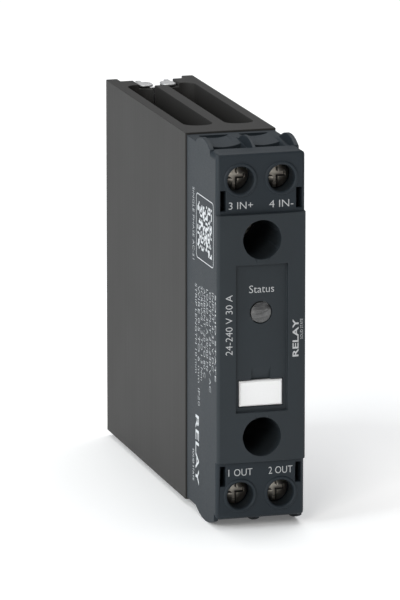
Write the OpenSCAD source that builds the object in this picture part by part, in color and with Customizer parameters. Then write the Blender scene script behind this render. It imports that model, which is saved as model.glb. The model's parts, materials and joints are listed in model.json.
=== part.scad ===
// Slim solid state relay with its own heat sink, for a 35 mm rail.
// X is to the right seen from the front, Y is to the back and Z is up.
// The origin is the middle of the rail's seat, halfway up the heat sink.

/* [Overall] */
// Width of one rail module, which is the heat sink's width
module_w = 22.5; // [22.5:0.1:23.5]
// Height of the heat sink
sink_h = 90; // [90:1:94]
// Depth of the heat sink in front of the rail seat
sink_d = 72.5; // [60:0.5:90]
// Depth from the heat sink to the terminal faces
relay_d = 25.6; // [25.6:0.1:27]

/* [Heat sink] */
// Thickness of the two outer walls
sink_wall = 2.6; // [2:0.1:3]
// Thickness of the centre fin
fin_t = 3; // [2.6:0.1:3.2]
// Thickness of the base that carries the relay
base_t = 8; // [8:0.5:10]
// Depth of the rear channel between the posts
channel_d = 3.2; // [3.2:0.1:3.6]
// Width of the rear channel
channel_w = 16.6; // [16.6:0.1:17]
// Thickness of the two rear flanges
flange_t = 5.8; // [5:0.1:7]
// Gap between the two rear flanges
gap_w = 3.6; // [3.4:0.1:4]
// Corner radius of the air slots
slot_r = 3; // [1:0.1:3.2]

/* [Case] */
// Width of the plastic case
case_w = 21.8; // [21.8:0.1:22.2]
// Height of the case at the heat sink
case_h = 89; // [89:0.2:90]
// Depth of its bottom edge at the front face
chin_z = 44; // [43.8:0.1:44.3]
// Side wall thickness
case_wall = 1.5; // [1.3:0.1:1.6]
// Radius of the upright front edges
edge_r = 1.2; // [0.6:0.1:1.3]
// Radius of the top front edge
brow_r = 0.8; // [0.5:0.1:1.5]
// Radius of the bottom front edge
chin_r = 1.5; // [1:0.1:2]
// Radius of the front's four corners, seen from the front
corner_r = 1.6; // [1:0.1:2]
// Thickness of the outer guard ribs at the wire entries
rib_t = 1.1; // [1:0.1:1.4]
// Height of the guard ribs above the case
rib_rise = 1.8; // [1:0.1:2.5]

/* [Front cover] */
// Height of the front cover
cover_h = 59.8; // [59.4:0.1:60]
// How far its side edges stand proud of the terminal faces
cover_proud = 0.9; // [0.8:0.1:1.2]
// Height of its bulge in the middle
cover_bulge = 0.35; // [0.2:0.05:0.5]
// Depth of the sunk panel below the cover's side edges
panel_depth = 0.8; // [0.5:0.05:0.8]
// Size of the sunk panel, width and height
panel_size = [12.7, 35.6];
// Diameter of the two holes to the mounting screws
access_d = 9.4; // [9:0.1:9.6]
// Distance between the two mounting screws
mount_dz = 47.6; // [47:0.1:48]

/* [Terminals] */
// Distance between the terminals, side to side
term_dx = 10; // [9.9:0.05:10.1]
// Distance between the terminals, top to bottom
term_dz = 76.2; // [76:0.1:76.4]
// Bore of the screwdriver holes
driver_d = 6.45; // [6.3:0.05:6.6]
// Outer diameter of the raised rim around each hole
rim_d = 8.3; // [8:0.1:8.4]
// Thread size of the clamp screws
clamp_d = 3.5; // [3:0.5:3.5]
// Diameter of their heads
head_d = 7; // [6.8:0.1:7]
// Depth of a screw head's top below the terminal face, clamp open
head_depth = 4.9; // [4.9:0.1:5]
// Room for the wire under an open clamp plate
wire_gap = 4.9; // [4.8:0.1:4.9]

/* [Rail clip] */
// Thickness of the clip's sheet steel
sheet_t = 1; // [0.9:0.05:1]
// Height of the rail that the clip grips
rail_h = 35; // [35:1:35]
// Thickness of the rail's lips
rail_t = 1; // [1:0.1:1]
// Number of turns of the latch spring
spring_turns = 9; // [6:1:10]

/* [Hidden] */
$fn = 48;
// Clearance of a shaft in its bore, and of a sliding sheet
fit = 0.1;
// Overlap that makes a cut run past the surface it opens
cut = 1;

// Heat sink
sink_front = -sink_d;
flange_y = -channel_d - flange_t;
slot_w = module_w / 2 - sink_wall - fin_t / 2;
slot_front = sink_front + base_t;
slot_l = flange_y - slot_front;
fin_back = 2;
ear_seat_x = 5.1;
ear_seat_depth = 1.1;
mount_thread = 4;
thread_depth = 7;

// Relay stack, from the heat sink to the front
seam = 0.1;
pad_t = 0.3;
plate_t = 3;
plate_w = 18.4;
plate_h = 61;
plate_front = sink_front - pad_t - plate_t;
ceramic_t = 0.6;
ceramic_size = [14, 28];
copper_t = 0.3;
copper_front = plate_front - ceramic_t - copper_t;
chip_t = 0.4;
board_t = 1.6;
board_size = [17.4, 35];
face_y = sink_front - relay_d;
board_front = face_y + 8.5;
cavity_w = case_w - 2 * case_wall;
cavity_h = 61.8;
front_wall = 1.5;
window_w = 18;
window_h = 55;
sleeve_d = access_d + 1.6;
window_bay_d = sleeve_d + 0.4;

// Front cover
cover_flat_w = case_w - 2 * cover_proud;
cover_r = (pow(cover_flat_w / 2, 2) + pow(cover_bulge, 2)) / (2 * cover_bulge);
panel_y = face_y - cover_proud + panel_depth;
cover_back = face_y + 1.1;
boss_back = face_y + 2.1;
lens_z = 6.1;
lens_d = 4.9;
lens_hole_d = 5.4;
label_size = [10.6, 6.15];
label_z = -13.4;
label_t = 1.3;
label_gap = 0.2;
notch_w = 4.7;
notch_h = 3.3;

// Snap tongues of the cover and their slots in the case
snap_x = [8.6, 10];
snap_z = [30.8, 35.7];
snap_depth = 5.2;
tongue_t = 1.2;
tongue_end = 34.9;

// Terminals
term_x = term_dx / 2;
term_z = term_dz / 2;
driver_depth = 4.3;
head_top = face_y + head_depth;
head_t = 2.5;
dome_h = 1.2;
lock_t = 0.9;
clamp_plate_t = 1.7;
clamp_plate_w = 7;
clamp_plate_front = head_top + head_t + lock_t;
clamp_plate_back = clamp_plate_front + clamp_plate_t;
bar_front = clamp_plate_back + wire_gap;
bar_t = 1.6;
bar_back = bar_front + bar_t;
nut_t = 3;
nut_w = 7;
nut_back = bar_back + nut_t;
screw_tip = bar_back + 2.5;
chamber_w = 7.5;
chamber_h = 7.8;
chamber_front = clamp_plate_front - 0.3;
entry_x = [1.1, 8.1];
entry_front_top = face_y + 6.1;
entry_front_bottom = clamp_plate_back + 0.5;
mouth_x = [0.5, 9];
mouth_depth = 2.6;
tip_room = 4.7;
tail_x = [6.1, 8.5];
tail_t = 1.2;

// Wire entry scoops and guard ribs
scoop_r = 13;
scoop_x = 4.9;
scoop_sink = [0.5, 1.25];
scoop_back = sink_front - 2.7;
groove_w = 0.55;
groove_sink = 1.2;
rib_back = sink_front - 7.7;
top_rib_l = 12.3;
bottom_rib_l = 15.8;
rib_foot = 2;
middle_rib_t = 0.8;

// Rail clip
bracket_z = [-38, 36];
bracket_screw_x = 5.95;
bracket_screw_z = [-31, 29];
crown_front = -channel_d + sheet_t + 2 * fit;
crown_back = crown_front + sheet_t;
crown_w = 7.5;
latch_w = 5;
latch_front = -channel_d + fit;
latch_back = latch_front + sheet_t;
latch_bottom = -14;
latch_travel = 4;
hook_gap = 0.4;
hook_reach = rail_t + 0.3;
hook_grip = 2.1;
fork_x = [3, 4.3];
fork_z = [sink_h / 2 - 7.5, sink_h / 2 - 2];
ear_x = [1.2, 4.7];
ear_y = [-8.8, -4.2];
ear_r = 1.3;
ear_t = 0.5;
ear_top = sink_h / 2 - 0.3;
ear_hole_d = 0.7;
spring_y = -4.6;
spring_d = 2.6;
spring_wire = 0.45;
spring_z = [-10, 8];
tab_w = 2.6;
tab_front = -6.2;

// ---- Shared shapes ----

// Box between two opposite corners
module block(a, b) {
    lo = [for (i = [0:2]) min(a[i], b[i])];
    hi = [for (i = [0:2]) max(a[i], b[i])];
    translate(lo) cube(hi - lo);
}

// Two equal boxes, one on each side of the X = 0 plane
module block_pair(a, b) {
    block(a, b);
    block([-a[0], a[1], a[2]], [-b[0], b[1], b[2]]);
}

// Round rod along Y at (x, z), between two depths
module rod(x, z, y0, y1, d) {
    translate([x, max(y0, y1), z]) rotate([90, 0, 0]) cylinder(d = d, h = abs(y1 - y0));
}

// Cone along Y at (x, z), with diameter d0 at y0 and d1 at y1, where y1 is in front of y0
module taper(x, z, y0, y1, d0, d1) {
    translate([x, y0, z]) rotate([90, 0, 0]) cylinder(d1 = d0, d2 = d1, h = y0 - y1);
}

// Rectangle about the origin with round corners, as true arcs
module round_rect(w, h, r) {
    square([w - 2 * r, h], center = true);
    square([w, h - 2 * r], center = true);
    for (x = [-1, 1], y = [-1, 1]) translate([x * (w / 2 - r), y * (h / 2 - r)]) circle(r = r);
}

// What is left outside the arc when a square corner at the origin, which points to
// +X and +Y, is rounded
module corner_waste(r) {
    translate([-r, -r]) difference() {
        square(r + cut);
        circle(r = r);
    }
}

// Outline drawn in Y and Z, given thickness along X from x0 to x1
module side_plate(x0, x1) {
    translate([x0, 0, 0]) rotate([90, 0, 90]) linear_extrude(height = x1 - x0) children();
}

// Mirror image across X = 0 or Z = 0 where asked for
module flip(left, down) {
    if (left && down) rotate([0, 180, 0]) children();
    else if (left) mirror([1, 0, 0]) children();
    else if (down) mirror([0, 0, 1]) children();
    else children();
}

// A child drawn for the top right terminal, moved to terminal k.
// 1 and 2 are at the bottom, 3 and 4 at the top; the odd ones are on the left.
module at_terminal(k) {
    flip(k % 2 == 1, k <= 2) children();
}

// Four copies, one for each corner of the front
module at_corners() {
    for (k = [1:4]) at_terminal(k) children();
}

// Cross recess in a screw head, at the origin and cut towards +Y
module cross_recess(w, t, depth) {
    block([-w / 2, -cut, -t / 2], [w / 2, depth, t / 2]);
    block([-t / 2, -cut, -w / 2], [t / 2, depth, w / 2]);
}

// ---- Heat sink and mounting ----

module sink_outline() {
    difference() {
        translate([-module_w / 2, -sink_d]) square([module_w, sink_d]);
        translate([-channel_w / 2, -channel_d]) square([channel_w, channel_d + cut]);
        translate([-gap_w / 2, flange_y - fin_back])
            square([gap_w, flange_t + fin_back + cut]);
        for (s = [-1, 1])
            translate([s * (fin_t + slot_w) / 2, slot_front + slot_l / 2])
                round_rect(slot_w, slot_l, slot_r);
    }
}

// One aluminium extrusion: base, outer walls, centre fin, rear flanges and posts
module heat_sink() {
    color([0.27, 0.27, 0.27])
    difference() {
        linear_extrude(height = sink_h, center = true) sink_outline();
        block([-ear_seat_x, 0, sink_h / 2 - ear_seat_depth],
            [ear_seat_x, flange_y - fin_back, sink_h / 2 + cut]);
        for (s = [-1, 1])
            rod(0, s * mount_dz / 2, sink_front - cut, sink_front + thread_depth, mount_thread);
        for (s = [-1, 1], z = bracket_screw_z)
            rod(s * bracket_screw_x, z, -channel_d + cut, -channel_d - 4, 2);
    }
}

// Thin pad that carries heat from the base plate to the heat sink
module thermal_pad() {
    color([0.75, 0.75, 0.72])
    difference() {
        block([-plate_w / 2, sink_front, -plate_h / 2],
            [plate_w / 2, sink_front - pad_t, plate_h / 2]);
        mount_holes(mount_thread + 1);
    }
}

// The two holes on the mounting axes, right through the relay
module mount_holes(d) {
    for (s = [-1, 1]) rod(0, s * mount_dz / 2, sink_front + cut, face_y - 5, d);
}

module base_plate() {
    color([0.72, 0.73, 0.75])
    difference() {
        block([-plate_w / 2, sink_front - pad_t, -plate_h / 2],
            [plate_w / 2, plate_front, plate_h / 2]);
        mount_holes(mount_thread + 0.5);
    }
}

// Two pan head screws that hold the relay to the heat sink
module mounting_screws() {
    washer_front = plate_front - 0.8;
    color([0.35, 0.35, 0.36])
    for (s = [-1, 1]) translate([0, 0, s * mount_dz / 2]) difference() {
        union() {
            rod(0, 0, washer_front, sink_front + thread_depth - 1, mount_thread - fit);
            rod(0, 0, washer_front, washer_front - 2.1, 7.8);
            taper(0, 0, washer_front - 2.1, washer_front - 3, 7.8, 6.2);
        }
        translate([0, washer_front - 3, 0]) cross_recess(4.4, 1, 2);
    }
}

module mounting_washers() {
    color([0.6, 0.6, 0.62])
    for (s = [-1, 1]) translate([0, 0, s * mount_dz / 2]) difference() {
        rod(0, 0, plate_front, plate_front - 0.8, 8.6);
        rod(0, 0, plate_front + cut, plate_front - 2, mount_thread + 0.3);
    }
}

// ---- Case ----

// Side view of the case without its ribs
module case_profile() {
    back = sink_front - seam;
    slope_start = sink_front - 10;
    difference() {
        polygon([
            [back, -case_h / 2], [slope_start, -case_h / 2], [entry_front_bottom, -chin_z],
            [face_y, -chin_z], [face_y, case_h / 2], [back, case_h / 2]
        ]);
        translate([face_y, case_h / 2]) rotate(90) corner_waste(brow_r);
        translate([face_y, -chin_z]) rotate(180) corner_waste(chin_r);
    }
}

// Plan view of the case
module case_plan() {
    difference() {
        translate([-case_w / 2, face_y]) square([case_w, relay_d - seam]);
        translate([case_w / 2, face_y]) rotate(-90) corner_waste(edge_r);
        translate([-case_w / 2, face_y]) rotate(180) corner_waste(edge_r);
    }
}

// Arched outline of a guard rib of length l on the top, in Y and Z
module rib_outline(l) {
    top = case_h / 2;
    r = (pow(l / 2, 2) + pow(rib_rise, 2)) / (2 * rib_rise);
    intersection() {
        translate([rib_back - l / 2, top + rib_rise - r]) circle(r = r);
        translate([rib_back - l, top - rib_foot]) square([l, rib_rise + rib_foot]);
    }
}

// Guard ribs above and below: one at each side and one in the middle
module guard_ribs() {
    for (down = [false, true]) flip(false, down) {
        l = down ? bottom_rib_l : top_rib_l;
        side_plate(-middle_rib_t / 2, middle_rib_t / 2) rib_outline(l);
        for (x = [-case_w / 2, case_w / 2 - rib_t]) side_plate(x, x + rib_t) rib_outline(l);
    }
}

// Funnel that leads a wire into its clamp: deeper towards the entry, between the guard
// ribs as far as the entry's front, and with a deep narrow groove behind it
module wire_scoop(entry_front) {
    run = scoop_back - bar_front;
    tilt = atan((scoop_sink[1] - scoop_sink[0]) / run);
    left = middle_rib_t / 2;
    right = case_w / 2 - rib_t;
    half_chord = sqrt(scoop_sink[0] * (2 * scoop_r - scoop_sink[0]));
    groove_depth = scoop_sink[0] + groove_sink;
    groove_r = (pow(half_chord, 2) + pow(groove_depth, 2)) / (2 * groove_depth);
    intersection() {
        translate([scoop_x, scoop_back, case_h / 2 + scoop_r - scoop_sink[0]])
            rotate([90 + tilt, 0, 0]) cylinder(r = scoop_r, h = 2 * relay_d, center = true);
        block([left, scoop_back, 0], [right, entry_front, case_h]);
    }
    translate([scoop_x, scoop_back + groove_w, case_h / 2 + groove_r - groove_depth])
        rotate([90, 0, 0]) cylinder(r = groove_r, h = groove_w);
}

// Half round rim that stands around a screwdriver hole
module driver_rim() {
    rim_r = (rim_d - driver_d) / 4;
    translate([term_x, face_y + 0.15, term_z]) rotate([90, 0, 0])
        rotate_extrude() translate([rim_d / 2 - rim_r, 0]) circle(r = rim_r);
}

// What is cut away to round the front's four corners, as far back as the guard ribs
module front_corners() {
    for (left = [false, true], down = [false, true]) {
        reach = rib_back - (down ? bottom_rib_l : top_rib_l) - face_y;
        edge_z = down ? chin_z : case_h / 2;
        flip(left, down) translate([case_w / 2, face_y + reach, edge_z])
            rotate([90, 0, 0]) linear_extrude(height = reach + cut) corner_waste(corner_r);
    }
}

// Room in the case for one terminal, drawn for the top right one
module terminal_room(entry_front) {
    rod(term_x, term_z, face_y - cut, chamber_front + cut, driver_d);
    rod(term_x, term_z, face_y + driver_depth, chamber_front + cut, head_d + 0.6);
    block([term_x - chamber_w / 2, chamber_front, term_z - chamber_h / 2],
        [term_x + chamber_w / 2, nut_back, term_z + chamber_h / 2]);
    rod(term_x, term_z, nut_back - cut, screw_tip + tip_room, clamp_d + 0.8);
    block([entry_x[0], entry_front, term_z], [entry_x[1], bar_front, case_h]);
    block([mouth_x[0], entry_front, case_h / 2 - mouth_depth], [mouth_x[1], bar_front, case_h]);
    block([tail_x[0] - 0.2, bar_front - 0.1, term_z], [tail_x[1] + 0.2, bar_back, cavity_h / 2 - cut]);
    wire_scoop(entry_front);
    // Slot over the cover's snap tongue, and the tongue's way in
    block([snap_x[0], face_y - cut, snap_z[0]], [snap_x[1], face_y + snap_depth, snap_z[1]]);
    block([snap_x[0] - 0.2, face_y + front_wall - 0.2, 25.7],
        [snap_x[1], face_y + snap_depth, snap_z[1]]);
}

// Case with its ribs, terminal rooms and the cavity for the electronics
module case_body() {
    color([0.2, 0.22, 0.24])
    difference() {
        union() {
            intersection() {
                side_plate(-case_w / 2, case_w / 2) case_profile();
                union() {
                    linear_extrude(height = 2 * case_h, center = true) case_plan();
                    block([-case_w / 2, face_y, -cover_h / 2], [case_w / 2, sink_front - seam, cover_h / 2]);
                }
            }
            guard_ribs();
            at_corners() driver_rim();
        }
        front_corners();
        // Cavity, open at the back, and the window that the cover closes
        block([-cavity_w / 2, sink_front + cut, -cavity_h / 2],
            [cavity_w / 2, face_y + front_wall, cavity_h / 2]);
        block([-window_w / 2, face_y - cut, -window_h / 2],
            [window_w / 2, face_y + 2 * cut, window_h / 2]);
        for (s = [-1, 1]) rod(0, s * mount_dz / 2, face_y - cut, face_y + 2 * cut, window_bay_d);
        for (k = [1:4])
            at_terminal(k) terminal_room(k <= 2 ? entry_front_bottom : entry_front_top);
    }
}

// ---- Front cover and what it carries ----

// Plan view of the cover's face plate, bulging to the front
module cover_plan() {
    y = face_y - cover_proud;
    intersection() {
        difference() {
            translate([-case_w / 2, y - cut]) square([case_w, cover_proud + cut]);
            translate([case_w / 2, y]) rotate(-90) corner_waste(cover_proud);
            translate([-case_w / 2, y]) rotate(180) corner_waste(cover_proud);
        }
        translate([0, y - cover_bulge + cover_r]) circle(r = cover_r, $fn = 200);
    }
}

// Snap tongue at the top right corner
module snap_tongue() {
    back = face_y + snap_depth - 0.3;
    front = back - tongue_t;
    block([snap_x[0] - 0.9, front, 26], [snap_x[1] - 0.15, back, 27.2]);
    block([snap_x[0] + 0.1, front, 26], [snap_x[1] - 0.15, back, tongue_end]);
    block([snap_x[0] + 0.1, face_y + 3.2, 31.1], [snap_x[1] - 0.15, back, 32.7]);
    block([snap_x[0] - 0.9, cover_back - 0.1, 26], [snap_x[0] + 0.2, back, 27.2]);
}

module front_cover() {
    hole_z = mount_dz / 2;
    pocket = [label_size[0] / 2 + label_gap, label_size[1] / 2 + label_gap];
    color([0.17, 0.18, 0.19])
    difference() {
        union() {
            linear_extrude(height = cover_h, center = true) cover_plan();
            block([-window_w / 2 + 0.15, face_y - 0.1, -window_h / 2 + 0.15],
                [window_w / 2 - 0.15, cover_back, window_h / 2 - 0.15]);
            block([-6.6, face_y, label_z - 4.4], [6.6, boss_back, label_z + 7.4]);
            for (s = [-1, 1]) rod(0, s * hole_z, face_y, plate_front - 0.4, sleeve_d);
            at_corners() snap_tongue();
        }
        for (s = [-1, 1]) rod(0, s * hole_z, face_y - 3, plate_front + cut, access_d);
        block([-panel_size[0] / 2, face_y - 3, -panel_size[1] / 2],
            [panel_size[0] / 2, panel_y, panel_size[1] / 2]);
        rod(0, lens_z, face_y - 3, boss_back + cut, lens_hole_d);
        block([-pocket[0], face_y - 3, label_z - pocket[1]],
            [pocket[0], panel_y + label_t, label_z + pocket[1]]);
        // Finger notch above the label, deepest next to it
        side_plate(-notch_w / 2, notch_w / 2) polygon([
            [panel_y - cut, label_z + pocket[1] - 0.1],
            [panel_y + 1, label_z + pocket[1] - 0.1],
            [panel_y, label_z + pocket[1] + notch_h],
            [panel_y - cut, label_z + pocket[1] + notch_h]
        ]);
    }
}

// Clear light pipe over the status LED, with a domed end
module status_lens() {
    dome_r = 6.5;
    dome_top = panel_y - 0.45;
    color([0.6, 0.6, 0.62, 0.6])
    union() {
        intersection() {
            rod(0, lens_z, dome_top - cut, cover_back + 0.9, lens_d);
            translate([0, dome_top + dome_r, lens_z]) sphere(r = dome_r, $fn = 96);
        }
        rod(0, lens_z, cover_back, cover_back + 0.9, lens_d + 1.5);
        rod(0, lens_z, cover_back + 0.8, board_front - 5.2, 2.8);
    }
}

module status_led() {
    color([0.85, 0.9, 0.8])
    union() {
        rod(0, lens_z, board_front, board_front - 1, 3.6);
        rod(0, lens_z, board_front, board_front - 3.4, 3);
        intersection() {
            rod(0, lens_z, board_front - 3, board_front - 5, 3);
            translate([0, board_front - 3.4, lens_z]) sphere(d = 3);
        }
    }
}

// White plate for the user's own marking, with bevelled edges
module marker_label() {
    bevel = 0.35;
    front = panel_y - 0.2;
    back = panel_y + label_t - 0.1;
    w = label_size[0] / 2;
    h = label_size[1] / 2;
    color([0.95, 0.95, 0.95])
    translate([0, 0, label_z])
    intersection() {
        linear_extrude(height = 2 * h, center = true)
            polygon([[-w, back], [-w, front + bevel], [bevel - w, front],
                [w - bevel, front], [w, front + bevel], [w, back]]);
        side_plate(-w, w)
            polygon([[back, -h], [front + bevel, -h], [front, bevel - h],
                [front, h - bevel], [front + bevel, h], [back, h]]);
    }
}

// ---- Power stage ----

module ceramic_substrate() {
    color([0.93, 0.93, 0.9])
    block([-ceramic_size[0] / 2, plate_front, -ceramic_size[1] / 2],
        [ceramic_size[0] / 2, plate_front - ceramic_t, ceramic_size[1] / 2]);
}

// Copper areas on the ceramic: two for the load, two for the gates
module copper_pads() {
    back = plate_front - ceramic_t;
    color([0.75, 0.45, 0.3]) {
        block_pair([0.6, back, -13], [6.4, copper_front, 6]);
        block_pair([0.6, back, 7], [6.4, copper_front, 13]);
    }
}

module thyristor_chips() {
    color([0.5, 0.5, 0.55])
    block_pair([0.9, copper_front, -1.2], [6.1, copper_front - chip_t, 4.2]);
}

// Pins from the gates' copper to the control board
module gate_pins() {
    color([0.8, 0.78, 0.7])
    for (x = [-3.5, 3.5]) {
        rod(x, 10, copper_front, board_front - 0.8, 0.8);
        rod(x, 10, copper_front, copper_front - 0.6, 1.8);
    }
}

// ---- Control board ----

module control_board() {
    back = board_front + board_t;
    w = board_size[0] / 2;
    h = board_size[1] / 2;
    color([0.1, 0.4, 0.2])
    difference() {
        block([-w, board_front, -h], [w, back, h]);
        for (x = [-3.5, 3.5]) rod(x, 10, board_front - cut, back + cut, 1);
        block_pair([tail_x[0] + 0.3, board_front - cut, h - 2.6], [tail_x[1] - 0.3, back + cut, h - 1.2]);
    }
}

// Box on the front of the board, by its centre, width, height and thickness
module on_board(x, z, w, h, t) {
    block([x - w / 2, board_front, z - h / 2], [x + w / 2, board_front - t, z + h / 2]);
}

module optocoupler() {
    color([0.12, 0.12, 0.12]) union() {
        block([-6.9, board_front - 0.5, -6.6], [-0.5, board_front - 3.6, 0.6]);
        for (z = [-5.5, -3, -0.5]) {
            on_board(-7.3, z, 0.8, 0.5, 2);
            on_board(-0.1, z, 0.8, 0.5, 2);
        }
    }
}

module trigger_chip() {
    color([0.12, 0.12, 0.12]) union() {
        block([2, board_front - 0.2, -6.2], [5.9, board_front - 1.6, -1.2]);
        for (z = [-5.6, -4.35, -3.05, -1.8]) {
            on_board(1.7, z, 0.8, 0.4, 0.8);
            on_board(6.2, z, 0.8, 0.4, 0.8);
        }
    }
}

module board_resistors() {
    color([0.15, 0.15, 0.15])
    for (p = [[-6, 13.5], [-2.2, 13.5], [1.6, 13.5], [-6, 4.5], [5.6, 4.5], [5.6, 1.6]])
        on_board(p[0], p[1], 3.2, 1.6, 0.6);
}

module snubber_capacitor() {
    color([0.8, 0.6, 0.15]) on_board(-4, -12, 7.2, 7.6, 4.5);
}

module varistor() {
    color([0.1, 0.25, 0.6]) union() {
        rod(3.9, -11.9, board_front - 0.6, board_front - 4, 7);
        for (z = [-2.5, 2.5]) rod(3.9, -11.9 + z, board_front, board_front - 1, 0.6);
    }
}

// ---- Terminals ----

module terminal_nuts() {
    color([0.6, 0.6, 0.6])
    at_corners() difference() {
        block([term_x - nut_w / 2, bar_back, term_z - nut_w / 2],
            [term_x + nut_w / 2, nut_back, term_z + nut_w / 2]);
        rod(term_x, term_z, bar_back - cut, nut_back + cut, clamp_d);
    }
}

// Contact bar: the wire's seat, and a tail that runs to the electronics.
// At the bottom the tail steps back to the copper, at the top it turns to the board.
module contact_bar(k) {
    tail_front = bar_back - tail_t;
    load = k <= 2;
    tail_end = load ? 10.2 : board_size[1] / 2 - 2.5;
    color([0.8, 0.65, 0.35])
    at_terminal(k) difference() {
        union() {
            block([term_x - nut_w / 2, bar_front, term_z - nut_w / 2],
                [term_x + nut_w / 2, bar_back, term_z + nut_w / 2]);
            block([tail_x[0], tail_front, term_z], [tail_x[1], bar_back, load ? 16 : tail_end]);
            if (load) {
                block([tail_x[0], tail_front, 16], [tail_x[1], copper_front, 16 - tail_t]);
                block([3, copper_front - tail_t, tail_end], [tail_x[0] + tail_t, copper_front, 12.6]);
                block([tail_x[0], copper_front - tail_t, tail_end], [tail_x[0] + tail_t, copper_front, 16]);
            } else {
                block([tail_x[0] + 0.4, bar_back, tail_end],
                    [tail_x[1] - 0.4, board_front - 0.8, tail_end + 1]);
            }
        }
        rod(term_x, term_z, bar_front - cut, bar_back + cut, clamp_d + 0.3);
    }
}

// Captive square plate that the screw presses onto the wire
module clamp_plate(k) {
    color([0.7, 0.7, 0.72])
    at_terminal(k) difference() {
        block([term_x - clamp_plate_w / 2, clamp_plate_front, term_z - clamp_plate_w / 2],
            [term_x + clamp_plate_w / 2, clamp_plate_back, term_z + clamp_plate_w / 2]);
        rod(term_x, term_z, clamp_plate_front - cut, clamp_plate_back + cut, clamp_d);
        for (z = [-2.7, 2.7])
            translate([term_x, clamp_plate_back, term_z + z]) rotate([0, 90, 0])
                cylinder(d = 0.7, h = clamp_plate_w + cut, center = true);
    }
}

// Split lock washer between the screw head and the clamp plate
module lock_washer(k) {
    front = head_top + head_t;
    color([0.65, 0.65, 0.66])
    at_terminal(k) difference() {
        rod(term_x, term_z, front, front + lock_t, head_d - 0.4);
        rod(term_x, term_z, front - cut, front + 2 * cut, clamp_d + 0.2);
        translate([term_x, front + lock_t / 2, term_z]) rotate([0, 60, 25])
            block([0, -2 * cut, -0.3], [head_d, 2 * cut, 0.3]);
    }
}

// Clamp screw: domed head with a slot and a cross recess
module terminal_screw(k) {
    dome_r = (pow(head_d / 2, 2) + pow(dome_h, 2)) / (2 * dome_h);
    color([0.45, 0.45, 0.45])
    at_terminal(k) translate([term_x, 0, term_z]) difference() {
        union() {
            rod(0, 0, head_top + head_t - 0.5, screw_tip, clamp_d - fit);
            intersection() {
                rod(0, 0, head_top + head_t, head_top, head_d);
                translate([0, head_top + dome_r, 0]) sphere(r = dome_r);
            }
        }
        translate([0, head_top, 0]) cross_recess(4.8, 1.05, 1.7);
        block([-0.52, head_top - cut, -head_d], [0.52, head_top + 1.4, head_d]);
    }
}

// ---- Rail clip ----

// Steel bracket in the rear channel: a raised crown that guides the latch, feet on
// the flanges, two fixed hooks under the rail and a tab that holds the spring
module din_bracket() {
    z0 = bracket_z[0];
    z1 = bracket_z[1];
    wall_in = crown_w / 2 - sheet_t;
    foot_x = channel_w / 2 - 0.2;
    hook_z = -rail_h / 2 - hook_gap;
    color([0.75, 0.76, 0.78])
    difference() {
        union() {
            block_pair([wall_in, -channel_d, z0], [foot_x, -channel_d + sheet_t, z1]);
            block_pair([wall_in, -channel_d, z0], [wall_in + sheet_t, crown_back, z1]);
            block([-wall_in - 0.5, crown_front, z0], [wall_in + 0.5, crown_back, z1]);
            block_pair([4.4, -channel_d, hook_z - sheet_t], [7.6, hook_reach + sheet_t, hook_z]);
            block_pair([4.4, hook_reach, hook_z - sheet_t],
                [7.6, hook_reach + sheet_t, -rail_h / 2 + hook_grip]);
            block([-tab_w / 2, crown_back, spring_z[1]],
                [tab_w / 2, tab_front, spring_z[1] + sheet_t]);
        }
        block([-wall_in + 0.1, -2.3, rail_h / 2 - hook_grip - 0.8],
            [wall_in - 0.1, cut, rail_h / 2 + hook_gap + sheet_t + latch_travel + 0.5]);
        for (s = [-1, 1], z = bracket_screw_z)
            rod(s * bracket_screw_x, z, -channel_d - cut, -channel_d + 2 * sheet_t, 2.3);
    }
}

module bracket_screws() {
    color([0.6, 0.6, 0.62])
    for (s = [-1, 1], z = bracket_screw_z)
        translate([s * bracket_screw_x, 0, z]) difference() {
            union() {
                rod(0, 0, -channel_d + sheet_t, -channel_d - 3.5, 1.9);
                rod(0, 0, -channel_d + sheet_t, -channel_d + sheet_t + 1.2, 3.8);
            }
            translate([0, -channel_d + sheet_t + 1.2, 0]) rotate([180, 0, 0])
                cross_recess(2, 0.5, 0.7);
        }
}

// Plan view of the right one of the latch's two ears, with its neck
module ear_plan() {
    w = ear_x[1] - ear_x[0];
    l = ear_y[1] - ear_y[0];
    translate([(ear_x[0] + ear_x[1]) / 2, (ear_y[0] + ear_y[1]) / 2]) round_rect(w, l, ear_r);
    translate([fork_x[0], ear_y[1] - ear_r]) square([fork_x[1] - fork_x[0], latch_back - ear_y[1] + ear_r]);
}

// Ear on the right: a flat tongue bent forward from the latch
module latch_ear() {
    translate([0, 0, ear_top - ear_t]) linear_extrude(height = ear_t) ear_plan();
}

// Sliding latch: hook over the rail, and two ears on top that a finger lifts
module din_latch() {
    hook_z = rail_h / 2 + hook_gap;
    color([0.8, 0.81, 0.83])
    difference() {
        union() {
            block([-latch_w / 2, latch_front, latch_bottom], [latch_w / 2, latch_back, fork_z[1]]);
            block([-fork_x[1], latch_front, fork_z[0]], [fork_x[1], latch_back, fork_z[1]]);
            block_pair([fork_x[0], latch_front, fork_z[0]], [fork_x[1], latch_back, ear_top]);
            for (left = [false, true]) flip(left, false) latch_ear();
            block([-2.3, latch_front, hook_z], [2.3, hook_reach + sheet_t, hook_z + sheet_t]);
            block([-2.3, hook_reach, rail_h / 2 - hook_grip],
                [2.3, hook_reach + sheet_t, hook_z + sheet_t]);
            block([-tab_w / 2, latch_back, spring_z[0] - sheet_t],
                [tab_w / 2, tab_front, spring_z[0]]);
        }
        block([-1.5, -cut - channel_d, spring_z[1] - latch_travel - 0.4],
            [1.5, cut - 2, spring_z[1] + sheet_t + 0.3]);
        translate([-ear_x[0] - ear_hole_d, -6.4, ear_top - cut])
            cylinder(d = ear_hole_d, h = 2 * cut);
    }
}

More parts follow.
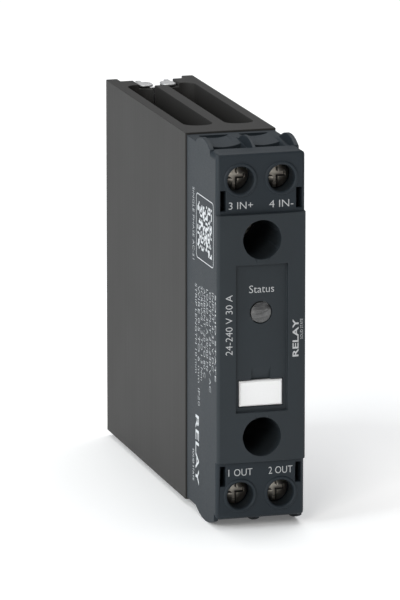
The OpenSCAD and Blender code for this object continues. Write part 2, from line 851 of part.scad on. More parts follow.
// Rings of a coil spring's wire, for one closed tube along a helix
function coil_centre(a, r, pitch) = [r * cos(a), r * sin(a), pitch * a / 360];
function coil_ring(a, r, pitch, wire_r, sides) = [
    for (s = [0:sides - 1])
        coil_centre(a, r, pitch)
            + wire_r * (cos(360 * s / sides) * [cos(a), sin(a), 0] + sin(360 * s / sides) * [0, 0, 1])
];

// Compression spring that keeps the latch down on the rail
module latch_spring() {
    sides = 6;
    steps = 12;
    rings = spring_turns * steps;
    r = (spring_d - spring_wire) / 2;
    gap = 0.05;
    rise = spring_z[1] - spring_z[0] - spring_wire - 2 * gap;
    pitch = rise / spring_turns;
    points = [
        for (i = [0:rings])
            each coil_ring(360 * i / steps, r, pitch, spring_wire / 2, sides)
    ];
    walls = [
        for (i = [0:rings - 1], s = [0:sides - 1])
            let (a = i * sides + s, b = i * sides + (s + 1) % sides)
                [a, b, b + sides, a + sides]
    ];
    ends = [
        [for (s = [sides - 1:-1:0]) s],
        [for (s = [0:sides - 1]) rings * sides + s]
    ];
    color([0.7, 0.7, 0.7])
    translate([0, spring_y, spring_z[0] + spring_wire / 2 + gap])
        polyhedron(points = points, faces = concat(walls, ends));
}

heat_sink();
thermal_pad();
base_plate();
mounting_screws();
mounting_washers();
case_body();
front_cover();
status_lens();
status_led();
marker_label();
ceramic_substrate();
copper_pads();
thyristor_chips();
gate_pins();
control_board();
optocoupler();
trigger_chip();
board_resistors();
snubber_capacitor();
varistor();
terminal_nuts();
contact_bar(1);  // contact_bar_1
contact_bar(2);  // contact_bar_2
contact_bar(3);  // contact_bar_3
contact_bar(4);  // contact_bar_4
clamp_plate(1);  // clamp_plate_1
clamp_plate(2);  // clamp_plate_2
clamp_plate(3);  // clamp_plate_3
clamp_plate(4);  // clamp_plate_4
lock_washer(1);  // lock_washer_1
lock_washer(2);  // lock_washer_2
lock_washer(3);  // lock_washer_3
lock_washer(4);  // lock_washer_4
terminal_screw(1);  // terminal_screw_1
terminal_screw(2);  // terminal_screw_2
terminal_screw(3);  // terminal_screw_3
terminal_screw(4);  // terminal_screw_4
din_bracket();
bracket_screws();
din_latch();
latch_spring();
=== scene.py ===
"""Solid state relay: looks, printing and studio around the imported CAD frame.

Everything is in metres in the CAD frame: X to the right seen from the front, Y to the
back, Z up.
"""

import json
import math
import random

import bmesh
import bpy
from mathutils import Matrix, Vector
from mathutils.bvhtree import BVHTree
from mathutils.kdtree import KDTree

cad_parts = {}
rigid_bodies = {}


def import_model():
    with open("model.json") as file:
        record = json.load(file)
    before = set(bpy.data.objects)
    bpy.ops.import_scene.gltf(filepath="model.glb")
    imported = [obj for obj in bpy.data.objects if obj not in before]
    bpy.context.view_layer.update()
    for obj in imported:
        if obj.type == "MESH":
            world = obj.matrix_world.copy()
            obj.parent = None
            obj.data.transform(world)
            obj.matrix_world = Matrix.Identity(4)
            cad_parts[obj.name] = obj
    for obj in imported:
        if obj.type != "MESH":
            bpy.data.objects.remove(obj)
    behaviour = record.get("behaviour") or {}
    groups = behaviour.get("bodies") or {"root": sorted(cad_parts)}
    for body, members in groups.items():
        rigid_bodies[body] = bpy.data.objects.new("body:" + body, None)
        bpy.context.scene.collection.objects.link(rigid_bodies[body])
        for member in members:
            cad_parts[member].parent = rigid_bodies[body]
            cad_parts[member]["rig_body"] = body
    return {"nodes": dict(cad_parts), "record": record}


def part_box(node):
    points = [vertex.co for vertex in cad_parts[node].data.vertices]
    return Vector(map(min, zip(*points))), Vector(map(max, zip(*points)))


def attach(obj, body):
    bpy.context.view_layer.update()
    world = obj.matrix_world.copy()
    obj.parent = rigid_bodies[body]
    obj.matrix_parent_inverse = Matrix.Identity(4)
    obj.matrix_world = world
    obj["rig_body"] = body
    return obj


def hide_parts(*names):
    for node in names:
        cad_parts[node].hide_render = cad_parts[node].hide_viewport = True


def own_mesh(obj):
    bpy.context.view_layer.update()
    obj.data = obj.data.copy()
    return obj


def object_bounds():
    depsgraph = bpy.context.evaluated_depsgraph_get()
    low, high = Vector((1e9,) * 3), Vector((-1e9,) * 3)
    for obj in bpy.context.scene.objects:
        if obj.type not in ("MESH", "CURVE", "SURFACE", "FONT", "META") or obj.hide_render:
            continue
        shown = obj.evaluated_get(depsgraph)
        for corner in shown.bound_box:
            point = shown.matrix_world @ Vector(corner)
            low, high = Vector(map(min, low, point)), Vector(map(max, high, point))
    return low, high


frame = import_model()
CAD_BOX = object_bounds()
NODES = frame["nodes"]
SLOT = {s["node"]: s["material_slot"] for s in frame["record"]["subparts"]}
MM = 0.001
random.seed(7)

# ---------------------------------------------------------------- materials


class Look:
    """Builds one node material: a Principled shader fed by object-space noise."""

    def __init__(self, name, **constants):
        self.material = bpy.data.materials.new(name)
        self.material.use_nodes = True
        self.tree = self.material.node_tree
        self.shader = self.tree.nodes["Principled BSDF"]
        self.coords = self.node("ShaderNodeTexCoord")
        for socket, value in constants.items():
            self.shader.inputs[socket.replace("_", " ")].default_value = value

    def node(self, kind, **values):
        """Adds a shader node and sets its values."""
        made = self.tree.nodes.new(kind)
        for key, value in values.items():
            setattr(made, key, value)
        return made

    def link(self, source, target):
        self.tree.links.new(source, target)

    def noise(self, size, stretch=(1, 1, 1), detail=3.0, distortion=0.0):
        """Noise whose features are about size metres, longer along an axis by stretch."""
        mapping = self.node("ShaderNodeMapping")
        mapping.inputs["Scale"].default_value = [1 / s for s in stretch]
        self.link(self.coords.outputs["Object"], mapping.inputs["Vector"])
        made = self.node("ShaderNodeTexNoise")
        made.inputs["Scale"].default_value = 1 / size
        made.inputs["Detail"].default_value = detail
        made.inputs["Distortion"].default_value = distortion
        self.link(mapping.outputs["Vector"], made.inputs["Vector"])
        return made.outputs["Fac"]

    def mix(self, a, b, share=0.5):
        """Weighted mean of two noise outputs."""
        made = self.node("ShaderNodeMix")
        made.inputs["Factor"].default_value = share
        self.link(a, made.inputs[2])
        self.link(b, made.inputs[3])
        return made.outputs[0]

    def color(self, source, dark, light, low=0.35, high=0.65):
        """Base colour that goes from dark to light as the source goes from low to high."""
        ramp = self.node("ShaderNodeValToRGB")
        ramp.color_ramp.elements[0].position = low
        ramp.color_ramp.elements[1].position = high
        ramp.color_ramp.elements[0].color = (*dark, 1)
        ramp.color_ramp.elements[1].color = (*light, 1)
        self.link(source, ramp.inputs["Fac"])
        self.link(ramp.outputs["Color"], self.shader.inputs["Base Color"])

    def facing(self, axis):
        """How far the surface faces along an axis of the CAD frame, from 0 to 1."""
        geometry = self.node("ShaderNodeNewGeometry")
        split = self.node("ShaderNodeSeparateXYZ")
        self.link(geometry.outputs["True Normal"], split.inputs["Vector"])
        size = self.node("ShaderNodeMath", operation="ABSOLUTE")
        self.link(split.outputs[axis], size.inputs[0])
        return size.outputs["Value"]

    def roughness(self, source, low, high):
        """Roughness between low and high, over the middle of the source's range."""
        made = self.node("ShaderNodeMapRange")
        made.inputs["From Min"].default_value = 0.3
        made.inputs["From Max"].default_value = 0.7
        made.inputs["To Min"].default_value = low
        made.inputs["To Max"].default_value = high
        self.link(source, made.inputs["Value"])
        self.link(made.outputs["Result"], self.shader.inputs["Roughness"])

    def bump(self, source, height):
        """Relief of that height in metres."""
        made = self.node("ShaderNodeBump")
        made.inputs["Strength"].default_value = 1
        made.inputs["Distance"].default_value = height
        self.link(source, made.inputs["Height"])
        self.link(made.outputs["Normal"], self.shader.inputs["Normal"])


def scaled(color, factor):
    """A colour made darker or lighter."""
    return tuple(min(1.0, c * factor) for c in color)


def moulded(name, color, rough, grain=0.00022, relief=0.000012, spread=0.1, gloss=0.5):
    """Injection moulded plastic with a fine eroded texture."""
    look = Look(name, IOR=1.46, Specular_IOR_Level=gloss)
    cloud = look.noise(0.018, detail=2)
    fine = look.noise(grain, detail=2)
    both = look.mix(cloud, fine, 0.4)
    look.color(both, scaled(color, 1 - spread), scaled(color, 1 + spread))
    look.roughness(look.mix(cloud, fine, 0.7), rough - 0.06, rough + 0.08)
    look.bump(fine, relief)
    return look.material


def metal(name, color, rough, stretch=(1, 1, 1), size=0.0004, relief=0.000004, spread=0.16):
    """Metal whose drawing, rolling or turning marks run along the stretched axis."""
    look = Look(name, Metallic=1.0)
    cloud = look.noise(0.006, detail=3)
    marks = look.noise(size, stretch=stretch, detail=4)
    both = look.mix(cloud, marks, 0.55)
    look.color(both, scaled(color, 1 - spread), scaled(color, 1 + spread))
    look.roughness(both, rough - spread / 2, rough + spread / 2)
    look.bump(marks, relief)
    return look.material


def nickel_with_painted_shade(name, color, rough):
    """Nickel on screw heads with painted shade: every surface that doesn't face along Y is painted
    dark, such as the walls of the recess and the slot, the side of the head and the thread flanks.
    """
    look = Look(name, Metallic=1.0)
    marks = look.mix(look.noise(0.006), look.noise(0.0007, detail=4))
    # Painted shade: the colour darkens as the surface turns away from facing along Y
    painted_shade = look.mix(marks, look.facing("Y"), 0.85)
    look.color(painted_shade, scaled(color, 0.08), color, 0.4, 0.8)
    look.roughness(marks, rough - 0.06, rough + 0.08)
    look.bump(marks, 0.000004)
    return look.material


def anodised(name, color, rough):
    """Dark anodised extrusion: die lines on the sides, saw marks on the two ends."""
    look = Look(name, Metallic=0.08, IOR=1.5, Specular_IOR_Level=0.25)
    die_lines = look.noise(0.0005, stretch=(1, 1, 260), detail=4)
    saw_marks = look.noise(0.0004, stretch=(60, 1, 1), detail=3)
    cloud = look.noise(0.03, detail=2)
    marks = look.node("ShaderNodeMix")
    look.link(look.facing("Z"), marks.inputs["Factor"])
    look.link(die_lines, marks.inputs[2])
    look.link(saw_marks, marks.inputs[3])
    both = look.mix(cloud, marks.outputs[0], 0.5)
    look.color(both, scaled(color, 0.96), scaled(color, 1.04))
    look.roughness(both, rough - 0.04, rough + 0.05)
    look.bump(marks.outputs[0], 0.000004)
    return look.material


def smoky_lens(name):
    """Smoked clear plastic with painted highlights: light streaks in its colour stand for the lit
    parts behind its dome.
    """
    look = Look(name, IOR=1.5, Coat_Weight=1.0, Coat_Roughness=0.05, Transmission_Weight=0.25)
    swirl = look.noise(0.0035, stretch=(1.6, 1, 0.5), detail=2, distortion=1.8)
    # Painted highlights: the light end of this colour range stands for the lit parts seen behind
    # the dome
    look.color(swirl, (0.013, 0.0133, 0.0136), (0.104, 0.104, 0.105), 0.36, 0.68)
    look.roughness(swirl, 0.18, 0.4)
    look.bump(swirl, 0.0004)
    return look.material


def clear_resin(name, color):
    """Slightly hazy clear epoxy."""
    look = Look(name, IOR=1.5, Transmission_Weight=0.6)
    haze = look.noise(0.001, detail=3)
    look.color(haze, scaled(color, 0.85), color)
    look.roughness(haze, 0.08, 0.2)
    look.bump(haze, 0.00002)
    return look.material


def laminate(name):
    """Solder mask over copper tracks, which show as paler straight runs."""
    look = Look(name, IOR=1.5, Coat_Weight=0.4, Coat_Roughness=0.15)
    mapping = look.node("ShaderNodeMapping")
    mapping.inputs["Rotation"].default_value = (math.radians(90), 0, 0)
    look.link(look.coords.outputs["Object"], mapping.inputs["Vector"])
    brick = look.node("ShaderNodeTexBrick")
    brick.inputs["Scale"].default_value = 260
    brick.inputs["Mortar Size"].default_value = 0.035
    look.link(mapping.outputs["Vector"], brick.inputs["Vector"])
    haze = look.noise(0.0015, detail=3)
    look.color(look.mix(haze, brick.outputs["Fac"], 0.5), (0.01, 0.1, 0.035), (0.03, 0.2, 0.08))
    look.roughness(haze, 0.25, 0.4)
    look.bump(brick.outputs["Fac"], 0.00002)
    return look.material


def printed(name, color):
    """Pad-printed ink, slightly uneven in density."""
    look = Look(name, IOR=1.45)
    density = look.noise(0.0003, detail=3)
    look.color(density, scaled(color, 0.86), color, 0.3, 0.6)
    look.roughness(density, 0.45, 0.6)
    look.bump(density, 0.000004)
    return look.material


CASE_GREY = (0.0137, 0.0198, 0.0256)
COVER_GREY = (0.0215, 0.0275, 0.0325)
MATERIALS = {
    "anodised_aluminium": anodised("anodised_aluminium", (0.0304, 0.0291, 0.0280), 0.6),
    "thermal_pad": moulded("thermal_pad", (0.45, 0.45, 0.42), 0.8, 0.0006, 0.00002),
    "nickel_plate": metal("nickel_plate", (0.62, 0.62, 0.6), 0.3, stretch=(1, 1, 40)),
    "dark_nickel": nickel_with_painted_shade("dark_nickel", (0.5, 0.46, 0.4), 0.4),
    "zinc_steel": metal("zinc_steel", (0.6, 0.61, 0.63), 0.34, stretch=(20, 1, 1)),
    "bright_steel": metal("bright_steel", (0.6, 0.6, 0.6), 0.5, stretch=(30, 1, 1), spread=0.05),
    "spring_steel": metal("spring_steel", (0.5, 0.5, 0.52), 0.25, size=0.0003),
    "case_plastic": moulded("case_plastic", CASE_GREY, 0.55, gloss=0.3),
    "cover_plastic": moulded("cover_plastic", COVER_GREY, 0.55, gloss=0.3),
    "lens_plastic": smoky_lens("lens_plastic"),
    "led_resin": clear_resin("led_resin", (0.75, 0.8, 0.7)),
    "label_plastic": moulded("label_plastic", (0.875, 0.875, 0.875), 0.4, 0.0004, 0.000003, 0.02),
    "alumina": moulded("alumina", (0.82, 0.81, 0.77), 0.6, 0.0003, 0.000006),
    "copper": metal("copper", (0.8, 0.4, 0.25), 0.3, stretch=(1, 1, 20)),
    "silicon": metal("silicon", (0.2, 0.2, 0.25), 0.12, size=0.0008, relief=0.000001),
    "tinned_copper": metal("tinned_copper", (0.72, 0.7, 0.65), 0.32, stretch=(1, 1, 25)),
    "board_laminate": laminate("board_laminate"),
    "chip_resin": moulded("chip_resin", (0.02, 0.02, 0.021), 0.6, 0.0002, 0.000006),
    "capacitor_film": moulded("capacitor_film", (0.62, 0.38, 0.05), 0.35, 0.0005, 0.000004),
    "varistor_coat": moulded("varistor_coat", (0.03, 0.1, 0.42), 0.3, 0.0006, 0.000008),
}
INK = printed("ink_grey", (0.5, 0.51, 0.52))
INK_WHITE = printed("ink_white", (0.62, 0.64, 0.66))
INK_BLACK = printed("ink_black", (0.006, 0.006, 0.007))

for node, part in NODES.items():
    part.data.materials.clear()
    part.data.materials.append(MATERIALS[SLOT[node]])

# ---------------------------------------------------------------- mesh helpers

# An angle between two faces above which the edge counts as sharp
SHARP = math.radians(35)


def piece(name, bm, body, material):
    """Turns a bmesh into a piece that rides on a body."""
    mesh = bpy.data.meshes.new(name)
    bm.to_mesh(mesh)
    bm.free()
    made = bpy.data.objects.new(name, mesh)
    bpy.context.scene.collection.objects.link(made)
    mesh.materials.append(material)
    mesh.shade_smooth()
    mesh.set_sharp_from_angle(angle=SHARP)
    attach(made, body)
    return made


def stand_in(node, bm):
    """A piece that stands for a CAD node: same body, same material, flat faces kept flat."""
    body = NODES[node]["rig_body"]
    made = piece(node + "_finished", bm, body, MATERIALS[SLOT[node]])
    modifier = made.modifiers.new("weighted_normals", "WEIGHTED_NORMAL")
    modifier.keep_sharp = True
    modifier.weight = 80
    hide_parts(node)


# ---------------------------------------------------------------- rounded edges

SAME_POINT = 0.002 * MM
SAME_FACE = math.radians(0.6)
ROUND_STEPS = 2
# Both in widths of the rounding
LONGEST_THROW = 2
LEAST_ROOM = 2.1


def cad_copy(node):
    """bmesh of a CAD node with its facets joined into whole faces."""
    bm = bmesh.new()
    bm.from_mesh(NODES[node].data)
    bmesh.ops.remove_doubles(bm, verts=bm.verts, dist=SAME_POINT)
    bmesh.ops.dissolve_limit(bm, angle_limit=SAME_FACE, verts=bm.verts, edges=bm.edges)
    return bm


def room_across(loop):
    """Distance over a face from the middle of one of its edges to the opposite side."""
    start, end = loop.vert.co, loop.link_loop_next.vert.co
    along = (end - start).normalized()
    inward = loop.face.normal.cross(along)
    nearest = math.inf
    for other in loop.face.loops:
        if other is loop:
            continue
        a, b = (corner.vert.co - (start + end) / 2 for corner in (other, other.link_loop_next))
        left, right = a.dot(along), b.dot(along)
        if left * right < 0:
            across = a.lerp(b, left / (left - right)).dot(inward)
            if across > 0:
                nearest = min(nearest, across)
    return nearest


def soften(bm, width):
    """A copy of bm with its sharp edges rounded by width, where there is room."""
    corners = KDTree(len(bm.verts))
    for i, vertex in enumerate(bm.verts):
        corners.insert(vertex.co, i)
    corners.balance()
    spared = set()
    while True:
        soft = bm.copy()
        soft.verts.index_update()
        home = soft.verts.layers.float_vector.new("home")
        for vertex in soft.verts:
            vertex[home] = vertex.co
        edges = [
            e
            for e in soft.edges
            if len(e.link_faces) == 2
            and e.calc_face_angle(0) > SHARP
            and not any(v.index in spared for v in e.verts)
            and all(room_across(loop) > LEAST_ROOM * width for loop in e.link_loops)
        ]
        bmesh.ops.bevel(
            soft,
            geom=edges,
            offset=width,
            offset_type="OFFSET",
            segments=ROUND_STEPS,
            profile=0.5,
            affect="EDGES",
            clamp_overlap=False,
        )
        # At a cramped corner the bevel can throw a point far off: that corner stays sharp
        thrown = {
            corners.find(v[home])[1]
            for v in soft.verts
            if (v.co - v[home]).length > LONGEST_THROW * width
        }
        if not thrown - spared:
            soft.verts.layers.float_vector.remove(home)
            bm.free()
            return soft
        spared |= thrown
        soft.free()


# Width of the rounding in millimetres
SOFT_EDGES = {
    "heat_sink": 0.2,
    "case_body": 0.15,
    "front_cover": 0.14,
    "marker_label": 0.08,
    "din_latch": 0.18,
    "din_bracket": 0.12,
    "base_plate": 0.2,
    "mounting_screws": 0.15,
    "snubber_capacitor": 0.4,
}
for k in range(1, 5):
    SOFT_EDGES[f"clamp_plate_{k}"] = 0.12
    SOFT_EDGES[f"contact_bar_{k}"] = 0.12
for node, width in SOFT_EDGES.items():
    stand_in(node, soften(cad_copy(node), width * MM))

# ---------------------------------------------------------------- terminal screws

THREAD_D = 3.4 * MM
THREAD_PITCH = 0.6 * MM
THREAD_DEPTH = 0.37 * MM
THREAD_AROUND = 20
THREAD_STEPS = 6
THREAD_POINT = 0.8 * MM
HEAD_EDGE = 0.08 * MM
# The head is cut off this far behind its bearing face, and the thread starts inside it
HEAD_SPARE = 0.02 * MM
THREAD_ROOT = 0.2 * MM


def close_tube(bm, rings):
    """Joins rings of vertices into a tube and closes its two ends."""
    count = len(rings[0])
    for near, far in zip(rings, rings[1:]):
        for j in range(count):
            after = (j + 1) % count
            bm.faces.new((near[j], near[after], far[after], far[j]))
    bm.faces.new(rings[0][::-1])
    bm.faces.new(rings[-1])


def add_thread(bm, x, z, start, tip):
    """Adds a right-hand thread along Y from start to tip, with a chamfered point."""
    count = round((tip - start) / THREAD_PITCH * THREAD_STEPS)
    rings = []
    for i in range(count + 1):
        y = start + (tip - start) * i / count
        point = max(0.0, y - (tip - THREAD_POINT))
        ring = []
        for j in range(THREAD_AROUND):
            turn = j / THREAD_AROUND
            flank = abs(2 * ((y / THREAD_PITCH - turn) % 1) - 1)
            r = min(THREAD_D / 2 - THREAD_DEPTH * flank, THREAD_D / 2 - point)
            angle = 2 * math.pi * turn
            ring.append(bm.verts.new((x + r * math.sin(angle), y, z + r * math.cos(angle))))
        rings.append(ring)
    close_tube(bm, rings)


def terminal_screw(k):
    """The CAD screw's head with softened edges, on a real thread."""
    node = f"terminal_screw_{k}"
    low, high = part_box(node)
    under_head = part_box(f"lock_washer_{k}")[0].y
    bm = soften(cad_copy(node), HEAD_EDGE)
    bmesh.ops.bisect_plane(
        bm,
        geom=bm.verts[:] + bm.edges[:] + bm.faces[:],
        plane_co=(0, under_head + HEAD_SPARE, 0),
        plane_no=(0, 1, 0),
        clear_outer=True,
    )
    centre = (low + high) / 2
    add_thread(bm, centre.x, centre.z, under_head - THREAD_ROOT, high.y)
    bmesh.ops.recalc_face_normals(bm, faces=bm.faces)
    stand_in(node, bm)


for k in range(1, 5):
    terminal_screw(k)

# ---------------------------------------------------------------- latch spring

SPRING_WIRE = 0.45 * MM
SPRING_TURNS = 11
SPRING_CLOSED = 1
SPRING_STEPS = 24
SPRING_SIDES = 10


def latch_spring():
    """Compression spring with closed ends, between the latch's tab and the bracket's."""
    low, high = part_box("latch_spring")
    centre = (low + high) / 2
    radius = (high.x - low.x - SPRING_WIRE) / 2
    active = SPRING_TURNS - 2 * SPRING_CLOSED
    pitch = (high.z - low.z - SPRING_WIRE * (1 + 2 * SPRING_CLOSED)) / active
    bm = bmesh.new()
    rings = []
    for i in range(SPRING_TURNS * SPRING_STEPS + 1):
        turn = i / SPRING_STEPS
        risen = min(max(turn - SPRING_CLOSED, 0), active)
        height = (turn - risen) * SPRING_WIRE + risen * pitch
        angle = 2 * math.pi * turn
        out = Vector((math.cos(angle), math.sin(angle), 0))
        place = Vector((centre.x, centre.y, low.z + SPRING_WIRE / 2 + height)) + out * radius
        ring = []
        for j in range(SPRING_SIDES):
            side = 2 * math.pi * j / SPRING_SIDES
            offset = out * math.cos(side) + Vector((0, 0, math.sin(side)))
            ring.append(bm.verts.new(place + offset * SPRING_WIRE / 2))
        rings.append(ring)
    close_tube(bm, rings)
    bmesh.ops.recalc_face_normals(bm, faces=bm.faces)
    made = piece("latch_spring_coil", bm, "relay", MATERIALS["spring_steel"])
    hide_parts("latch_spring")
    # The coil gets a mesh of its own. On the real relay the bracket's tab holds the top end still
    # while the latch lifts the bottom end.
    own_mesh(made)


latch_spring()

# ---------------------------------------------------------------- printing

INK_T = 0.015 * MM
# Thickening of the letters, as a share of their height: normal, thin and heavy
NORMAL = -0.008
THIN = -0.022
HEAVY = 0.02
SEMI_HEAVY = 0.01
# In the scattered cells
BLANK_SHARE = 0.55
CORNER_STEPS = 6


class Face:
    """A side of a CAD node that takes print, with its reading direction and its up."""

    def __init__(self, node, along, up):
        mesh = NODES[node].data
        polygons = [p.vertices[:] for p in mesh.polygons]
        self.tree = BVHTree.FromPolygons([v.co for v in mesh.vertices], polygons)
        self.along = Vector(along)
        self.up = Vector(up)
        self.out = self.along.cross(self.up)

    def place(self, flat, rise):
        """The point over (along, up) that lies rise above the surface."""
        start = self.along * flat.x + self.up * flat.y + self.out
        return self.tree.ray_cast(start, -self.out)[0] + self.out * rise


def ink(name, face, flats, material):
    """Lays flat bmeshes on a face as one thin layer of ink."""
    whole = bmesh.new()
    for flat in flats:
        grown = bmesh.ops.extrude_face_region(flat, geom=flat.faces[:])["geom"]
        tops = {g for g in grown if isinstance(g, bmesh.types.BMVert)}
        for vertex in flat.verts:
            vertex.co = face.place(vertex.co, INK_T if vertex in tops else -INK_T)
        bmesh.ops.recalc_face_normals(flat, faces=flat.faces)
        part = bpy.data.meshes.new(name)
        flat.to_mesh(part)
        flat.free()
        whole.from_mesh(part)
        bpy.data.meshes.remove(part)
    piece(name, whole, "relay", material)


def box_of(s0, s1, t0, t1):
    """Frame for one line of print, along and up the face, from millimetres."""
    return Vector((s0, t0)) * MM, Vector((s1, t1)) * MM


def lettering(text, frame_box, bold=NORMAL):
    """Flat text that fills the frame, its strokes thickened by bold."""
    curve = bpy.data.curves.new("lettering", "FONT")
    curve.body = text
    curve.resolution_u = 3
    curve.offset = bold
    holder = bpy.data.objects.new("lettering", curve)
    mesh = bpy.data.meshes.new_from_object(holder)
    bm = bmesh.new()
    bm.from_mesh(mesh)
    bpy.data.objects.remove(holder)
    bpy.data.curves.remove(curve)
    bpy.data.meshes.remove(mesh)
    bmesh.ops.remove_doubles(bm, verts=bm.verts, dist=0.0001)
    low = Vector([min(v.co[i] for v in bm.verts) for i in range(2)])
    high = Vector([max(v.co[i] for v in bm.verts) for i in range(2)])
    start, end = frame_box
    for vertex in bm.verts:
        for i in range(2):
            share = (vertex.co[i] - low[i]) / (high[i] - low[i])
            vertex.co[i] = start[i] + share * (end[i] - start[i])
    return bm


def bar(s0, s1, t0, t1):
    """Flat rectangle, from millimetres."""
    bm = bmesh.new()
    corners = [(s0, t0), (s1, t0), (s1, t1), (s0, t1)]
    bm.faces.new([bm.verts.new((s * MM, t * MM, 0)) for s, t in corners])
    return bm


def cells(frame_box, count):
    """Square field of scattered cells, which carries no data."""
    start, end = frame_box
    step = Vector(((end.x - start.x) / count, (end.y - start.y) / count))
    bm = bmesh.new()
    for i in range(count):
        for j in range(count):
            if random.random() < BLANK_SHARE:
                continue
            corners = [(i, j), (i + 1, j), (i + 1, j + 1), (i, j + 1)]
            bm.faces.new(
                [bm.verts.new((start.x + a * step.x, start.y + b * step.y, 0)) for a, b in corners]
            )
    return bm


def round_outline(frame_box, radius, width):
    """Flat outline of a rectangle with round corners."""
    start, end = frame_box
    centres = [
        (end.x - radius, end.y - radius),
        (start.x + radius, end.y - radius),
        (start.x + radius, start.y + radius),
        (end.x - radius, start.y + radius),
    ]
    bm = bmesh.new()
    pairs = []
    for quarter, (x, y) in enumerate(centres):
        for i in range(CORNER_STEPS + 1):
            angle = math.radians(90 * (quarter + i / CORNER_STEPS))
            c, s = math.cos(angle), math.sin(angle)
            near = bm.verts.new((x + (radius - width) * c, y + (radius - width) * s, 0))
            far = bm.verts.new((x + radius * c, y + radius * s, 0))
            pairs.append((near, far))
    for (a, b), (c, d) in zip(pairs, pairs[1:] + pairs[:1]):
        bm.faces.new((a, b, d, c))
    return bm


def terminal_marks():
    """Terminal numbers next to the screwdriver holes, and the word over the lens."""
    face = Face("case_body", (1, 0, 0), (0, 0, 1))
    lines = [
        lettering("3 IN+", box_of(-7.9, -2, 31.2, 32.9)),
        lettering("4 IN-", box_of(2, 7.9, 31.2, 32.9)),
        lettering("1 OUT", box_of(-7.9, -2, -33.3, -31.6)),
        lettering("2 OUT", box_of(2, 7.9, -33.3, -31.6)),
    ]
    ink("terminal_numbers", face, lines, INK)
    face = Face("front_cover", (1, 0, 0), (0, 0, 1))
    ink("status_word", face, [lettering("Status", box_of(-2.9, 3.2, 10.9, 12.7))], INK)


def cover_marks():
    """Upright lines at the two edges of the front cover, read from the bottom."""
    face = Face("front_cover", (0, 0, 1), (-1, 0, 0))
    lines = [
        lettering("24-240 V 30 A", box_of(-3.6, 10.9, 7.25, 8.9)),
        lettering("RELAY", box_of(-4.9, 4.2, -9, -7.5), HEAVY),
        lettering("SOLID STATE", box_of(-0.7, 4.2, -10.1, -9.4)),
    ]
    ink("cover_lines", face, lines, INK)


def side_marks():
    """Data lines, scattered cells in a frame and ticks on the left side, read downwards."""
    face = Face("case_body", (0, 0, -1), (0, -1, 0))
    half_height = 0.72
    # Text, middle of the line along Y, start and end along Z
    rows = [
        ("SINGLE PHASE AC-51", 78.5, -33, -15.5),
        ("STRIP LENGTH 10 mm", 80.7, -10, 11.8),
        ("WIRE 0.5 TO 6 mm", 83.1, -10, 13.7),
        ("IP20", 83.1, 15.1, 19.3),
        ("SCREWS 1.2 TO 1.5 Nm", 85.5, -10.3, 12.6),
        ("AMBIENT -20 TO 80 C", 87.9, -10.2, 11.4),
        ("LOAD 30 A 50/60 Hz", 90.3, -10.5, 9.3),
        ("OUTPUT 24-240 V AC", 92.7, -10.4, 13.8),
        ("INPUT 4-32 V DC", 95, -10.7, 8.25),
    ]
    lines = [
        lettering(text, box_of(start, end, middle - half_height, middle + half_height), THIN)
        for text, middle, start, end in rows
    ]
    lines.append(lettering("SOLID STATE", box_of(-10.7, 10.2, 96.8, 97.7)))
    lines.append(lettering("RELAY", box_of(22, 39, 80.3, 83.1), SEMI_HEAVY))
    lines.append(lettering("SOLID STATE", box_of(31, 38.8, 77.8, 78.9)))
    ink("side_lines", face, lines, INK_WHITE)
    ink("side_cells", face, [cells(box_of(-30.5, -18.5, 82, 94.1), 21)], INK_WHITE)
    outline = round_outline(box_of(-32.3, -16.6, 80.9, 95.6), 1.2 * MM, 0.2 * MM)
    ink("side_frame", face, [outline], INK_WHITE)
    ticks = [bar(-4.7, -4.45, 76.4, 79.5), bar(11.1, 11.35, 76.4, 78.8)]
    ink("side_ticks", face, ticks, INK_BLACK)


terminal_marks()
cover_marks()
side_marks()

# ---------------------------------------------------------------- studio

FLOOR_SIZE = 6
FLOOR_GAP = 0.02 * MM
FLOOR_GLOW = 0.13
LIGHTS_AIM = Vector((0, -50 * MM, 0))
COOL = (0.925, 0.978, 1)
PLAIN = (1, 1, 1)
WARM = (1, 0.972, 0.93)
SKY = (0.94, 0.97, 1, 1)
SKY_STRENGTH = 0.3
CAMERA_PLACE = Vector((-377.62, -1365.56, 305.45)) * MM
CAMERA_AZIMUTH = math.radians(15.9697)
CAMERA_ELEVATION = math.radians(12.6326)
CAMERA_LENS = 345.5
CAMERA_SENSOR = 36


def add(name, data):
    """Puts an object with this mesh, light or camera into the scene."""
    made = bpy.data.objects.new(name, data)
    bpy.context.scene.collection.objects.link(made)
    return made


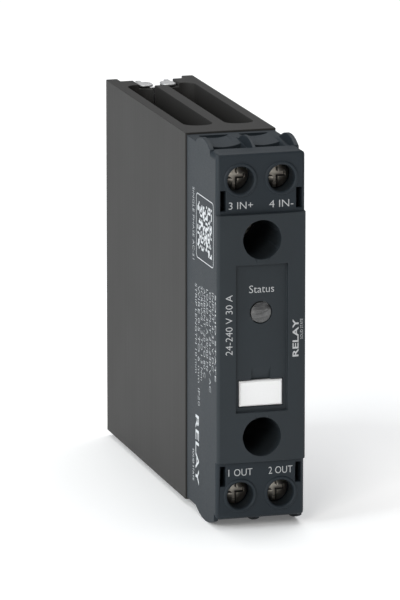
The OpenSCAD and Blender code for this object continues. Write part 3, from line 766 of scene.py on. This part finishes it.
def paper_floor():
    """White paper that glows a little, so that it stays white between the lights."""
    bm = bmesh.new()
    bmesh.ops.create_grid(bm, x_segments=8, y_segments=8, size=FLOOR_SIZE)
    mesh = bpy.data.meshes.new("floor")
    bm.to_mesh(mesh)
    bm.free()
    paper = moulded("floor_paper", (0.97, 0.97, 0.97), 0.9, 0.002, 0.00001, 0.01)
    shader = paper.node_tree.nodes["Principled BSDF"]
    shader.inputs["Emission Color"].default_value = (1, 1, 1, 1)
    shader.inputs["Emission Strength"].default_value = FLOOR_GLOW
    mesh.materials.append(paper)
    floor = add("floor", mesh)
    floor.location.z = CAD_BOX[0].z - FLOOR_GAP


def aim(obj, direction):
    """Turns a light or a camera, which look along their own -Z, to a direction."""
    obj.rotation_mode = "QUATERNION"
    obj.rotation_quaternion = direction.to_track_quat("-Z", "Y")


def softbox(name, place, size, power, tint):
    """Square light of that size, aimed at the middle of the relay."""
    light = bpy.data.lights.new(name, "AREA")
    light.color = tint
    light.shape = "RECTANGLE"
    light.size = size
    light.size_y = size
    light.energy = power
    lamp = add(name, light)
    lamp.location = place
    aim(lamp, LIGHTS_AIM - Vector(place))


def sky():
    world = bpy.data.worlds.new("studio")
    bpy.context.scene.world = world
    world.use_nodes = True
    background = world.node_tree.nodes["Background"]
    background.inputs["Color"].default_value = SKY
    background.inputs["Strength"].default_value = SKY_STRENGTH


def camera():
    """Camera to the front left of the relay and a little above it."""
    data = bpy.data.cameras.new("camera")
    data.sensor_width = CAMERA_SENSOR
    data.lens = CAMERA_LENS
    made = add("camera", data)
    made.location = CAMERA_PLACE
    level = math.cos(CAMERA_ELEVATION)
    aim(
        made,
        Vector(
            (
                math.sin(CAMERA_AZIMUTH) * level,
                math.cos(CAMERA_AZIMUTH) * level,
                -math.sin(CAMERA_ELEVATION),
            )
        ),
    )
    bpy.context.scene.camera = made


paper_floor()
softbox("key", (-1.7, -0.2, 0.7), 1.2, 20.2, COOL)
softbox("top", (0.2, 0.5, 1.7), 1.6, 21, PLAIN)
softbox("front", (-1.0, -1.5, 0.9), 0.7, 12.8, WARM)
sky()
camera()
bpy.context.scene.view_settings.view_transform = "Standard"
